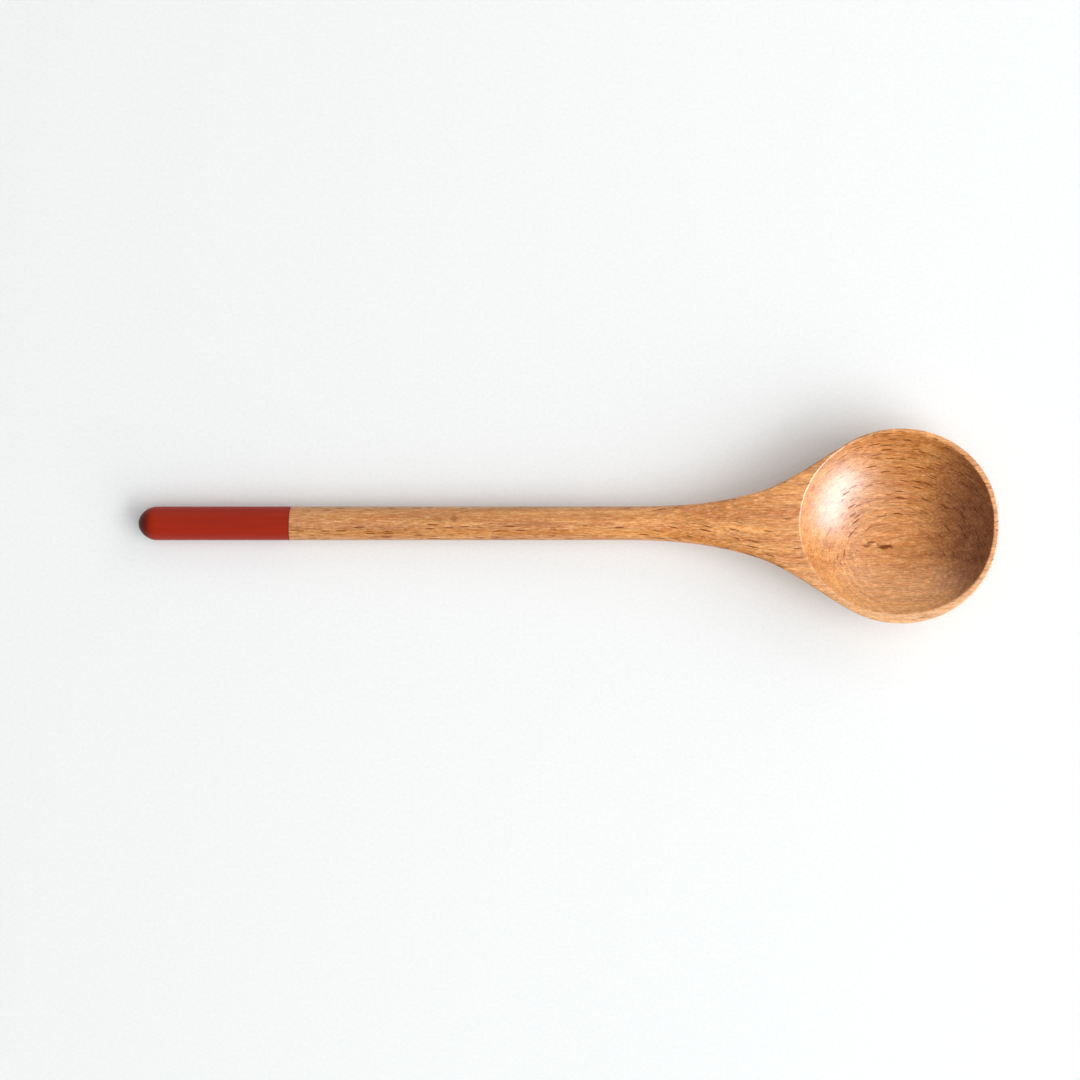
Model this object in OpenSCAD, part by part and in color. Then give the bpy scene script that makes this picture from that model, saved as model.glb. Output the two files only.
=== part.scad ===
// A long-handled spoon carved from one piece of beech, with the end of its
// round handle primed and painted.  It lies on a table at z = 0, hollow up,
// with +X running from the painted tip to the bowl.

/* [Overall] */
// Length from the painted tip to the far lip of the bowl
spoon_length = 210; // [170:1:260]

/* [Handle] */
// Diameter of the round handle
handle_d = 8.3; // [6.5:0.1:10.5]
// Angle at which the handle climbs from its tip to the neck, in degrees
handle_rise = 1.2; // [0:0.1:2.5]
// Length of the rounded end of the handle
tip_length = 4.4; // [3:0.1:8]
// Fullness of the rounded end: 2 is an ellipse, less is more pointed
tip_fullness = 1.85; // [1.4:0.05:2.4]
// How far the handle's axis lies to one side of the bowl's middle line
handle_offset = 0.7; // [0:0.1:1.5]

/* [Neck] */
// Length of the flare between the round handle and the bowl's oval
neck_length = 55; // [40:1:70]
// Width of the neck at its waist
waist_w = 16.5; // [12:0.5:20]
// Height of the neck's underside at its waist, above the table
waist_clearance = 5; // [3:0.1:7]
// How far back from the bowl's oval the waist lies
waist_setback = 21.5; // [16:0.5:26]
// Rate at which each side of the neck spreads at its waist
waist_spread = 0.33; // [0.2:0.01:0.5]

/* [Bowl] */
// Length of the bowl's oval
bowl_l = 47.4; // [38:0.1:58]
// Width of the bowl's oval
bowl_w = 47.3; // [38:0.1:58]
// Fullness of the oval's outline: 0.5 is an ellipse, less is squarer
outline_fullness = 0.46; // [0.4:0.01:0.5]
// Height of the rim above the table
rim_h = 14.5; // [11:0.1:18]
// Height over which the outer edge of the rim is rounded
rim_edge = 0.9; // [0.4:0.1:1.6]
// Fullness of the underside: 0.5 is a half ellipse, 1 is a parabola
bowl_fullness = 0.8; // [0.6:0.05:1]
// Distance from the neck's end to the middle of the bowl's oval
bowl_reach = 12.4; // [8:0.1:16]

/* [Hollow] */
// Thickness of wood under the lowest point of the hollow
floor_t = 2.8; // [2:0.1:4]
// Thickness of the rim at the far lip
lip_t = 1; // [0.8:0.1:2.5]
// Mean thickness of the rim at the two sides
side_t = 1.3; // [1.2:0.1:2.5]
// How far the hollow was cut off the bowl's middle line
hollow_shift = 0.75; // [-0.8:0.05:0.8]
// How far the hollow runs into the neck past the bowl's oval
heel_reach = 0.9; // [0:0.1:2]

/* [Paint] */
// Length of handle that was dipped
dip_length = 37.4; // [20:0.1:80]
// Thickness of the colour coat
paint_t = 0.12; // [0.08:0.01:0.3]
// Thickness of the primer under it
primer_t = 0.08; // [0.05:0.01:0.2]

/* [Hidden] */

// Points around one cross-section, and the number of cross-sections
SECTION_POINTS = 44;
NECK_SECTIONS = 18;
BOWL_SECTIONS = 16;
TIP_POINTS = 18;
// Sides that stand for a full turn of the handle and of the ball that cuts the hollow
BAR_SIDES = 96;
BALL_SIDES = 160;
// How far a cut runs past the face it opens
CUT_MARGIN = 1;
// The flare starts this far inside the round handle, and this much thinner
ROOT_OVERLAP = 2;
ROOT_INSET = 0.02;
// Fullness of a circle, and of the nearly flat top of the bowl's rim
ROUND = 0.5;
RIM_FLATNESS = 0.2;

handle_r = handle_d / 2;
bowl_mid = spoon_length - bowl_l / 2;
neck_end = bowl_mid - bowl_reach;
waist_x = neck_end - waist_setback;
neck_start = neck_end - neck_length;
edge_z = rim_h - rim_edge;

hollow_depth = rim_h - floor_t;
hollow_half_l = (bowl_l - lip_t + heel_reach) / 2;
hollow_half_w = bowl_w / 2 - side_t;
hollow_mid = spoon_length - lip_t - hollow_half_l;
hollow_r = (pow(hollow_half_l, 2) + pow(hollow_depth, 2)) / (2 * hollow_depth);

// ---------------------------------------------------------------- curves

// Cubic between two knots [x, value, slope]
function ease(a, b, x) =
    let (span = b[0] - a[0], t = (x - a[0]) / span)
    a[1] * (2 * pow(t, 3) - 3 * pow(t, 2) + 1)
    + b[1] * (3 * pow(t, 2) - 2 * pow(t, 3))
    + span * (a[2] * (pow(t, 3) - 2 * pow(t, 2) + t) + b[2] * (pow(t, 3) - pow(t, 2)));

// Value at x of a curve through knots, level before the first one
function along(knots, x, i = 0) =
    x <= knots[0][0] ? knots[0][1]
    : i + 2 < len(knots) && x > knots[i + 1][0] ? along(knots, x, i + 1)
    : ease(knots[i], knots[i + 1], min(x, knots[i + 1][0]));

// How much of the bowl's oval is left at x, from 1 at its middle to 0 at its lip
function oval(x) = max(0, 1 - pow((x - bowl_mid) / (bowl_l / 2), 2));
function oval_slope(x) = -2 * (x - bowl_mid) / pow(bowl_l / 2, 2);

// The axis of the round handle, which rests on the table where the tip's rounding starts
function axis_z(x) = handle_r / cos(handle_rise) + (x - tip_length) * tan(handle_rise);

// ---------------------------------------------------------------- outline of the neck and bowl

function oval_half_width(x) = bowl_w / 2 * pow(oval(x), outline_fullness);
join_w = oval_half_width(neck_end);
join_spread = join_w * outline_fullness * oval_slope(neck_end) / oval(neck_end);
join_depth = edge_z * pow(oval(neck_end), bowl_fullness);
join_slope = -join_depth * bowl_fullness * oval_slope(neck_end) / oval(neck_end);
root_r = handle_r - ROOT_INSET;
half_width_knots = [
    [neck_start, root_r, 0],
    [waist_x, waist_w / 2, waist_spread],
    [neck_end, join_w, join_spread],
];
top_knots = [
    [neck_start, axis_z(neck_start) + root_r, tan(handle_rise)],
    [hollow_mid - hollow_half_l, rim_h, 0],
];
edge_knots = [
    [neck_start, axis_z(neck_start), tan(handle_rise)],
    [hollow_mid - hollow_half_l, edge_z, 0],
];
bottom_knots = [
    [neck_start, axis_z(neck_start) - root_r, tan(handle_rise)],
    [waist_x, waist_clearance, 0],
    [neck_end, edge_z - join_depth, join_slope],
];

function half_width(x) = x > neck_end ? oval_half_width(x) : along(half_width_knots, x);
function middle_y(x) = along([[neck_start, handle_offset, 0], [neck_end, 0, 0]], x);
function edge_height(x) = along(edge_knots, x);
function rise_above(x) =
    x > bowl_mid ? rim_edge * pow(oval(x), RIM_FLATNESS) : along(top_knots, x) - edge_height(x);
function drop_below(x) =
    x > neck_end ? edge_z * pow(oval(x), bowl_fullness) : edge_height(x) - along(bottom_knots, x);
function top_fullness(x) = along([[neck_start, ROUND, 0], [neck_end, RIM_FLATNESS, 0]], x);
function under_fullness(x) = along([[neck_start, ROUND, 0], [neck_end, bowl_fullness, 0]], x);

// One closed cross-section at x, from the +Y edge over the top
function section(x) = [
    for (i = [0 : SECTION_POINTS - 1])
        let (a = 360 * i / SECTION_POINTS, up = sin(a) >= 0)
        [
            x,
            middle_y(x) + half_width(x) * cos(a),
            edge_height(x) + (up ? rise_above(x) * pow(abs(sin(a)), 2 * top_fullness(x))
                                 : -drop_below(x) * pow(abs(sin(a)), 2 * under_fullness(x)))
        ]
];

// Cross-sections are even along the neck and crowd together towards the lip
section_xs = concat(
    [for (i = [0 : NECK_SECTIONS - 1]) neck_start + neck_length * i / NECK_SECTIONS],
    [for (i = [0 : BOWL_SECTIONS - 1])
        neck_end + (spoon_length - neck_end) * sin(90 * i / BOWL_SECTIONS)]
);

// ---------------------------------------------------------------- shapes

// Solid neck and bowl before the hollow is cut: a skin over the cross-sections,
// closed by a point at the lip
module blank() {
    root_step = [ROOT_OVERLAP, 0, ROOT_OVERLAP * tan(handle_rise)];
    root = [for (p = section(neck_start)) p - root_step];
    rings = concat([root], [for (x = section_xs) section(x)]);
    last = len(rings) - 1;
    n = SECTION_POINTS;
    lip_point = n * len(rings);
    polyhedron(
        points = concat([for (r = rings) for (p = r) p], [[spoon_length, 0, edge_z]]),
        faces = concat(
            [[for (i = [0 : n - 1]) i]],
            [for (k = [0 : last - 1], i = [0 : n - 1])
                let (a = k * n + i, b = k * n + (i + 1) % n) [a, a + n, b + n]],
            [for (k = [0 : last - 1], i = [0 : n - 1])
                let (a = k * n + i, b = k * n + (i + 1) % n) [a, b + n, b]],
            [for (i = [0 : n - 1]) [last * n + i, lip_point, last * n + (i + 1) % n]]
        )
    );
}

// Round bar of the handle with its rounded tip, inset all round, from the tip to the given length
module handle_bar(inset, length) {
    r = handle_r - inset;
    nose = tip_length - inset;
    translate([0, handle_offset, axis_z(0)])
        rotate([0, 90 - handle_rise, 0])
            rotate_extrude($fn = BAR_SIDES)
                polygon(concat(
                    [[0, inset]],
                    [for (i = [1 : TIP_POINTS])
                        let (a = 90 * i / TIP_POINTS, curve = 2 / tip_fullness)
                        [r * pow(sin(a), curve), tip_length - nose * pow(cos(a), curve)]],
                    [[r, length], [0, length]]
                ));
}

// The round-bottomed cut that makes the bowl, a ball stretched to the hollow's oval
module hollow() {
    translate([hollow_mid, hollow_shift, rim_h - hollow_depth + hollow_r])
        scale([1, hollow_half_w / hollow_half_l, 1])
            sphere(r = hollow_r, $fn = BALL_SIDES);
}

// ---------------------------------------------------------------- nodes

module beech_spoon() {
    color("burlywood") {
        difference() {
            blank();
            hollow();
        }
        handle_bar(paint_t + primer_t, neck_start);
        difference() {
            handle_bar(0, neck_start);
            handle_bar(-CUT_MARGIN, dip_length);
        }
    }
}

module primer_coat() {
    color("whitesmoke")
        difference() {
            handle_bar(paint_t, dip_length);
            handle_bar(paint_t + primer_t, dip_length + CUT_MARGIN);
        }
}

module red_paint_coat() {
    color("firebrick")
        difference() {
            handle_bar(0, dip_length);
            handle_bar(paint_t, dip_length + CUT_MARGIN);
        }
}

translate([-spoon_length / 2, 0, 0]) {
    beech_spoon();
    primer_coat();
    red_paint_coat();
}
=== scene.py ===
"""A long-handled beech spoon with the end of its handle dipped in red paint, on a white table."""

import math

import bpy
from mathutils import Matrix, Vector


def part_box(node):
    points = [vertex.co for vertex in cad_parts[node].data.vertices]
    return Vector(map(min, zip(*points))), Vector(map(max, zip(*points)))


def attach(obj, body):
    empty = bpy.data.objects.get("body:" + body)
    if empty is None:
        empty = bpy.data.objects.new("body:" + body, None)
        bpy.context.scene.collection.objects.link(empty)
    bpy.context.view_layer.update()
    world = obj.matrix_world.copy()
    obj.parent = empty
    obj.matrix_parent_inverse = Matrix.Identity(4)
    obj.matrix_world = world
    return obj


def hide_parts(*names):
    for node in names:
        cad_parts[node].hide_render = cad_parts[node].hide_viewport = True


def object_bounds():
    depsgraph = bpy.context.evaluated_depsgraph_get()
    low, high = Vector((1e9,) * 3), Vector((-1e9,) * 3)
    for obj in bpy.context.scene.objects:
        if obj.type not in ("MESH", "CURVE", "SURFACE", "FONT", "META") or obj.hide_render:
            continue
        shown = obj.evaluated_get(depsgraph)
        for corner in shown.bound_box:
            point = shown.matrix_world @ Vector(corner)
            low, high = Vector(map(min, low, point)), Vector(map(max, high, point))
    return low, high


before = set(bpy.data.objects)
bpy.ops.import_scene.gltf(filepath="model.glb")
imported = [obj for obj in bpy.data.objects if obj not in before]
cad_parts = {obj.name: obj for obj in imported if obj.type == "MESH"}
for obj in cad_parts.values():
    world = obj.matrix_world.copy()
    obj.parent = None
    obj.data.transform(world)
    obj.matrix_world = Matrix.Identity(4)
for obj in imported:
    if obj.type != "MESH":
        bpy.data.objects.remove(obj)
cad_low, cad_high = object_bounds()

# ================================================================ Camera
# Straight above the table, a little towards the painted end and towards the
# front, so that the spoon lies across the middle of the view.

CAMERA_HEIGHT = 0.560
CAMERA_PLACE = (-0.0061, -0.0034)
LENS_MM = 75.2
SENSOR_MM = 36.0

camera_data = bpy.data.cameras.new("camera")
camera_data.sensor_width = SENSOR_MM
camera_data.lens = LENS_MM
camera = bpy.data.objects.new("camera", camera_data)
camera.location = (*CAMERA_PLACE, CAMERA_HEIGHT)
bpy.context.scene.collection.objects.link(camera)
bpy.context.scene.camera = camera

# ================================================================ Beech spoon
# One length of steamed beech: turned round along the handle, sawn to the flare
# and the bowl's oval, hollowed with a round-nosed cutter and sanded.  The end
# of the handle is a hair thinner where the coats go on.

MM = 0.001

spoon_length = (cad_high.x - cad_low.x) / MM
bowl_w = (cad_high.y - cad_low.y) / MM
rim_h = cad_high.z / MM
coat_low, coat_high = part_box("red_paint_coat")
handle_r = (coat_high.y - coat_low.y) / MM / 2

handle_rise = math.radians(1.2)
tip_length = 4.4
tip_fullness = 1.85
handle_offset = 0.7
dip_length = 37.4
films_t = 0.2
edge_lean = 0.15

neck_length = 55
waist_w = 16.5
waist_clearance = 5
waist_setback = 21.5
waist_spread = 0.33

bowl_l = 47.4
outline_fullness = 0.46
rim_edge = 0.9
bowl_fullness = 0.8
bowl_reach = 12.4

floor_t = 2.8
lip_t = 1
side_t = 1.3
hollow_shift = 0.75
heel_reach = 0.9
cutter_wander = 0.26
arris_softness = 0.5
nick_depth = 0.28
sanding_depth = 0.05

# Fullness of a circle, and of the nearly flat top of the rim
ROUND = 0.5
RIM_FLATNESS = 0.2

bowl_mid = spoon_length - bowl_l / 2
neck_end = bowl_mid - bowl_reach
neck_start = neck_end - neck_length
waist_x = neck_end - waist_setback
edge_z = rim_h - rim_edge
hollow_depth = rim_h - floor_t
hollow_half_l = (bowl_l - lip_t + heel_reach) / 2
hollow_half_w = bowl_w / 2 - side_t
hollow_mid = spoon_length - lip_t - hollow_half_l
hollow_r = (hollow_half_l**2 + hollow_depth**2) / (2 * hollow_depth)
heel_x = hollow_mid - hollow_half_l


def axis_z(x):
    """Height of the handle's axis, which rests on the table where the tip's rounding starts."""
    return handle_r / math.cos(handle_rise) + (x - tip_length) * math.tan(handle_rise)


# Curves along the spoon, as knots of place, value and slope
climb = math.tan(handle_rise)
join_oval = 1 - (bowl_reach / (bowl_l / 2)) ** 2
join_oval_slope = 2 * bowl_reach / (bowl_l / 2) ** 2
join_w = bowl_w / 2 * join_oval**outline_fullness
join_depth = edge_z * join_oval**bowl_fullness
width_knots = [
    (neck_start, handle_r, 0),
    (waist_x, waist_w / 2, waist_spread),
    (neck_end, join_w, join_w * outline_fullness * join_oval_slope / join_oval),
]
middle_knots = [(neck_start, handle_offset, 0), (neck_end, 0, 0)]
edge_knots = [(0, axis_z(0), climb), (neck_start, axis_z(neck_start), climb), (heel_x, edge_z, 0)]
top_knots = [
    (0, axis_z(0) + handle_r, climb),
    (neck_start, axis_z(neck_start) + handle_r, climb),
    (heel_x, rim_h, 0),
]
bottom_knots = [
    (0, axis_z(0) - handle_r, climb),
    (neck_start, axis_z(neck_start) - handle_r, climb),
    (waist_x, waist_clearance, 0),
    (neck_end, edge_z - join_depth, -join_depth * bowl_fullness * join_oval_slope / join_oval),
]
top_fullness_knots = [(neck_start, ROUND, 0), (neck_end, RIM_FLATNESS, 0)]
under_fullness_knots = [(neck_start, ROUND, 0), (neck_end, bowl_fullness, 0)]


def add(tree, kind, inputs=(), **settings):
    """Adds a node with its settings.

    Inputs, by place or by name, are values, sockets, or nodes for their first output.
    """
    node = tree.nodes.new(kind)
    for name, value in settings.items():
        setattr(node, name, value)
    for place, value in inputs.items() if isinstance(inputs, dict) else enumerate(inputs):
        if isinstance(value, bpy.types.Node):
            value = value.outputs[0]
        if isinstance(value, bpy.types.NodeSocket):
            tree.links.new(value, node.inputs[place])
        elif value is not None:
            node.inputs[place].default_value = value
    return node


def along(tree, x, knots):
    """The value at x of a smooth curve through knots, level past its ends."""
    value = knots[0][1]
    for (x0, v0, s0), (x1, v1, s1) in zip(knots, knots[1:]):
        span, rise = x1 - x0, v1 - v0
        t = add(tree, "ShaderNodeMapRange", [x, x0, x1, 0.0, 1.0])
        cubic = [t, span * (s0 + s1) - 2 * rise, 3 * rise - span * (2 * s0 + s1)]
        cubic = add(tree, "ShaderNodeMath", cubic, operation="MULTIPLY_ADD")
        square = add(tree, "ShaderNodeMath", [t, cubic, span * s0], operation="MULTIPLY_ADD")
        piece = add(tree, "ShaderNodeMath", [t, square, v0], operation="MULTIPLY_ADD")
        past = add(tree, "ShaderNodeMath", [x, x0], operation="GREATER_THAN")
        value = add(tree, "GeometryNodeSwitch", [past, value, piece], input_type="FLOAT")
    return value


def made_mesh(name, tree, sizes):
    """The plain mesh that a tree makes at the given sizes, in an object of its own."""
    piece = bpy.data.objects.new(name, bpy.data.meshes.new(name))
    bpy.context.scene.collection.objects.link(piece)
    maker = piece.modifiers.new(name, "NODES")
    maker.node_group = tree
    for item in tree.interface.items_tree:
        if item.in_out == "INPUT":
            maker[item.identifier] = sizes[item.name]
    depsgraph = bpy.context.evaluated_depsgraph_get()
    mesh = bpy.data.meshes.new_from_object(piece.evaluated_get(depsgraph))
    piece.modifiers.clear()
    piece.data = mesh
    mesh.name = name
    # The first slot is the new object's own, and empty
    mesh.materials.pop(index=0)
    return piece


CREASE = math.radians(34)


def smooth_but_creased(tree, geometry):
    """The geometry shaded smooth, but for edges that turn by more than CREASE."""
    smooth = add(tree, "GeometryNodeSetShadeSmooth", [geometry])
    turn = add(tree, "GeometryNodeInputMeshEdgeAngle")
    creased = add(tree, "ShaderNodeMath", [turn, CREASE], operation="GREATER_THAN")
    sharp = {"Geometry": smooth, "Selection": creased, "Shade Smooth": False}
    return add(tree, "GeometryNodeSetShadeSmooth", sharp, domain="EDGE")


def new_tree(name, sizes):
    """An empty Geometry Nodes tree with a named input for each size, and those inputs' sockets."""
    tree = bpy.data.node_groups.new(name, "GeometryNodeTree")
    for label in sizes:
        tree.interface.new_socket(name=label, in_out="INPUT", socket_type="NodeSocketFloat")
    tree.interface.new_socket(name="Geometry", in_out="OUTPUT", socket_type="NodeSocketGeometry")
    return tree, tree.nodes.new("NodeGroupInput").outputs


beech = bpy.data.materials.new("steamed beech, sanded and oiled")
beech.use_nodes = True

spoon_sizes = {
    "Bowl length": bowl_l,
    "Bowl width": bowl_w,
    "Outline fullness": outline_fullness,
    "Bowl fullness": bowl_fullness,
    "Edge height": edge_z,
    "Rim edge": rim_edge,
    "Hollow half length": hollow_half_l,
    "Hollow half width": hollow_half_w,
    "Hollow floor": floor_t,
    "Hollow radius": hollow_r,
    "Hollow shift": hollow_shift,
    "Cutter wander": cutter_wander,
    "Arris softness": arris_softness,
    "Nick depth": nick_depth,
    "Sanding depth": sanding_depth,
}
body, size = new_tree("Carved spoon", spoon_sizes)

# The skin is three grids: the handle and neck as a tube, and the bowl's top and
# underside as rays from a middle point out to the outline and to the throat,
# where the neck's tube ends.  All are laid out in plan first, and one rule then
# gives every point its height.
ROUND_POINTS = 96
TIP_RINGS = 16
TUBE_RINGS = 200
THROAT_SHARE = 1 / 8
OUTLINE_POINTS = int(ROUND_POINTS / 2 / THROAT_SHARE)
HOLLOW_RINGS = 60
RIM_RINGS = 22
UNDER_RINGS = 44
throat_x = waist_x

position = add(body, "GeometryNodeInputPosition")
place = add(body, "ShaderNodeSeparateXYZ", [position])
x, y, mark = place.outputs

# The bowl's oval: 1 at its middle, 0 at its lip
from_mid = add(body, "ShaderNodeMath", [x, bowl_mid], operation="SUBTRACT")
from_mid = add(body, "ShaderNodeMath", [from_mid, size["Bowl length"]], operation="DIVIDE")
from_mid_squared = add(body, "ShaderNodeMath", [from_mid, from_mid], operation="MULTIPLY")
oval = add(body, "ShaderNodeMath", [from_mid_squared, -4.0, 1.0], operation="MULTIPLY_ADD")
oval = add(body, "ShaderNodeMath", [oval, 0.0], operation="MAXIMUM")
in_bowl = add(body, "ShaderNodeMath", [x, neck_end], operation="GREATER_THAN")
far_half = add(body, "ShaderNodeMath", [x, bowl_mid], operation="GREATER_THAN")

# Half the width at x
oval_width = add(body, "ShaderNodeMath", [oval, size["Outline fullness"]], operation="POWER")
oval_width = add(body, "ShaderNodeMath", [oval_width, size["Bowl width"]], operation="MULTIPLY")
oval_width = add(body, "ShaderNodeMath", [oval_width, 0.5], operation="MULTIPLY")
neck_width = along(body, x, width_knots)
half_width = add(body, "GeometryNodeSwitch", [in_bowl, neck_width, oval_width], input_type="FLOAT")

# Height of the outline, and how far the skin rises above it and drops below it
edge = along(body, x, edge_knots)
neck_rise = add(body, "ShaderNodeMath", [along(body, x, top_knots), edge], operation="SUBTRACT")
lip_rise = add(body, "ShaderNodeMath", [oval, RIM_FLATNESS], operation="POWER")
lip_rise = add(body, "ShaderNodeMath", [lip_rise, size["Rim edge"]], operation="MULTIPLY")
rise = add(body, "GeometryNodeSwitch", [far_half, neck_rise, lip_rise], input_type="FLOAT")
neck_drop = add(body, "ShaderNodeMath", [edge, along(body, x, bottom_knots)], operation="SUBTRACT")
bowl_drop = add(body, "ShaderNodeMath", [oval, size["Bowl fullness"]], operation="POWER")
bowl_drop = add(body, "ShaderNodeMath", [bowl_drop, size["Edge height"]], operation="MULTIPLY")
drop = add(body, "GeometryNodeSwitch", [in_bowl, neck_drop, bowl_drop], input_type="FLOAT")


def flat_grid(tree, columns, rows):
    """A grid, and how far along its columns and rows each point is, from 0 to 1."""
    grid = add(tree, "GeometryNodeMeshGrid", [1.0, 1.0, columns + 1, rows + 1])
    share = add(tree, "ShaderNodeSeparateXYZ", [grid.outputs["UV Map"]])
    return grid.outputs["Mesh"], share.outputs["X"], share.outputs["Y"]


def stationed(tree, geometry, station):
    """The geometry with every point at its station along the spoon, and the half width there."""
    spot = add(tree, "ShaderNodeCombineXYZ", [station])
    lined_up = add(tree, "GeometryNodeSetPosition", {"Geometry": geometry, "Position": spot})
    held = tree.nodes.new("GeometryNodeCaptureAttribute")
    held.capture_items.new("FLOAT", "Half width")
    tree.links.new(lined_up.outputs[0], held.inputs["Geometry"])
    tree.links.new(half_width.outputs[0], held.inputs["Half width"])
    return held.outputs["Geometry"], held.outputs["Half width"]


# Handle and neck: rings round the rounded spigot under the coats, a step out to
# the bare handle, and evenly spaced rings on to the throat.  The mark carries
# how full a ring is, with its sign for the upper or the lower side.
tube, tube_u, tube_v = flat_grid(body, TIP_RINGS + 2 + TUBE_RINGS, ROUND_POINTS)
ring = add(body, "ShaderNodeMath", [tube_u, TIP_RINGS + 2.0 + TUBE_RINGS], operation="MULTIPLY")
tip_turn = add(body, "ShaderNodeMapRange", [ring, 0.0, float(TIP_RINGS), 0.0, math.pi / 2])
tip_cos = add(body, "ShaderNodeMath", [tip_turn], operation="COSINE")
tip_cos = add(body, "ShaderNodeMath", [tip_cos, 2 / tip_fullness], operation="POWER")
tip_x = add(body, "ShaderNodeMath", [tip_cos, films_t - tip_length, tip_length], operation="MULTIPLY_ADD")
straight = [ring, TIP_RINGS + 2.0, TIP_RINGS + 2.0 + TUBE_RINGS, dip_length, throat_x]
straight_x = add(body, "ShaderNodeMapRange", straight)
past_tip = add(body, "ShaderNodeMath", [ring, TIP_RINGS + 0.5], operation="GREATER_THAN")
station = add(body, "GeometryNodeSwitch", [past_tip, tip_x, straight_x], input_type="FLOAT")
tip_sin = add(body, "ShaderNodeMath", [tip_turn], operation="SINE")
tip_sin = add(body, "ShaderNodeMath", [tip_sin, 2 / tip_fullness], operation="POWER")
spigot = add(body, "ShaderNodeMath", [tip_sin, 1 - films_t / handle_r], operation="MULTIPLY")
past_spigot = add(body, "ShaderNodeMath", [ring, TIP_RINGS + 1.5], operation="GREATER_THAN")
girth = add(body, "GeometryNodeSwitch", [past_spigot, spigot, 1.0], input_type="FLOAT")
turn = add(body, "ShaderNodeMath", [tube_v, 2 * math.pi], operation="MULTIPLY")
turn_cos = add(body, "ShaderNodeMath", [turn], operation="COSINE")
upper = add(body, "ShaderNodeMath", [tube_v, 0.5], operation="LESS_THAN")
side = add(body, "ShaderNodeMath", [upper, 2.0, -1.0], operation="MULTIPLY_ADD")
tube_mark = add(body, "ShaderNodeMath", [girth, side], operation="MULTIPLY")
tube, tube_half = stationed(body, tube, station)
across = add(body, "ShaderNodeMath", [turn_cos, tube_half], operation="MULTIPLY")
across = add(body, "ShaderNodeMath", [across, girth], operation="MULTIPLY")
spot = add(body, "ShaderNodeCombineXYZ", [station, across, tube_mark])
tube = add(body, "GeometryNodeSetPosition", {"Geometry": tube, "Position": spot})
tube = add(body, "GeometryNodeFlipFaces", {"Mesh": tube})


def bowl_border(tree, rows):
    """A grid for one side of the bowl, the border point of each column, and how far in a row is.

    The border runs round the outline and back across the throat.
    """
    grid, round_share, out_share = flat_grid(tree, OUTLINE_POINTS, rows)
    outline = add(tree, "ShaderNodeMapRange", [round_share, 0.0, 1 - THROAT_SHARE, 0.0, 1.0])
    reach = add(tree, "ShaderNodeMath", [outline, math.pi], operation="MULTIPLY")
    reach = add(tree, "ShaderNodeMath", [reach], operation="SINE")
    reach = add(tree, "ShaderNodeMath", [reach, spoon_length - throat_x, throat_x], operation="MULTIPLY_ADD")
    grid, half = stationed(tree, grid, reach)
    throat = add(tree, "ShaderNodeMapRange", [round_share, 1 - THROAT_SHARE, 1.0, 0.0, math.pi])
    throat = add(tree, "ShaderNodeMath", [throat], operation="COSINE")
    throat = add(tree, "ShaderNodeMath", [throat, -1.0], operation="MULTIPLY")
    second = add(tree, "ShaderNodeMath", [outline, 0.5], operation="GREATER_THAN")
    fraction = add(tree, "GeometryNodeSwitch", [second, 1.0, throat], input_type="FLOAT")
    out = add(tree, "ShaderNodeMath", [half, fraction], operation="MULTIPLY")
    border = add(tree, "ShaderNodeCombineXYZ", [reach, out])
    return grid, border, out_share


# Top of the bowl: rings crowd together on both sides of the hollow's arris, and
# again at the outline
TOP_RINGS = HOLLOW_RINGS + RIM_RINGS
ARRIS_CROWDING = 1.7
top, border, out_share = bowl_border(body, TOP_RINGS)
middle = (hollow_mid, hollow_shift, 0)
ray = add(body, "ShaderNodeVectorMath", [border, middle], operation="SUBTRACT")
half_axes = add(body, "ShaderNodeCombineXYZ", [size["Hollow half length"], size["Hollow half width"], 1.0])
oval_ray = add(body, "ShaderNodeVectorMath", [ray, half_axes], operation="DIVIDE")
oval_ray = add(body, "ShaderNodeVectorMath", [oval_ray], operation="LENGTH")
arris_share = add(body, "ShaderNodeMath", [1.0, oval_ray.outputs["Value"]], operation="DIVIDE")
inside = add(body, "ShaderNodeMapRange", [out_share, 0.0, HOLLOW_RINGS / TOP_RINGS, 1.0, 0.0])
inside = add(body, "ShaderNodeMath", [inside, ARRIS_CROWDING], operation="POWER")
inside = add(body, "ShaderNodeMath", [1.0, inside], operation="SUBTRACT")
beyond = [out_share, HOLLOW_RINGS / TOP_RINGS, 1.0, 0.0, 1.0]
beyond = add(body, "ShaderNodeMapRange", beyond, interpolation_type="SMOOTHSTEP")
reach = add(body, "ShaderNodeMath", [inside, beyond], operation="SUBTRACT")
reach = add(body, "ShaderNodeMath", [reach, arris_share, beyond], operation="MULTIPLY_ADD")
spot = add(body, "ShaderNodeVectorMath", {0: ray, 3: reach}, operation="SCALE")
spot = add(body, "ShaderNodeVectorMath", [spot, (hollow_mid, hollow_shift, 1)], operation="ADD")
top = add(body, "GeometryNodeSetPosition", {"Geometry": top, "Position": spot})

# Underside of the bowl: rings crowd together at the outline
OUTLINE_CROWDING = 1.6
under, border, in_share = bowl_border(body, UNDER_RINGS)
inward = add(body, "ShaderNodeMath", [in_share, OUTLINE_CROWDING], operation="POWER")
ray = add(body, "ShaderNodeVectorMath", [(bowl_mid, 0, 0), border], operation="SUBTRACT")
spot = add(body, "ShaderNodeVectorMath", {0: ray, 3: inward}, operation="SCALE")
spot = add(body, "ShaderNodeVectorMath", [spot, border], operation="ADD")
spot = add(body, "ShaderNodeVectorMath", [spot, (0, 0, -1)], operation="ADD")
under = add(body, "GeometryNodeSetPosition", {"Geometry": under, "Position": spot})

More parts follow.
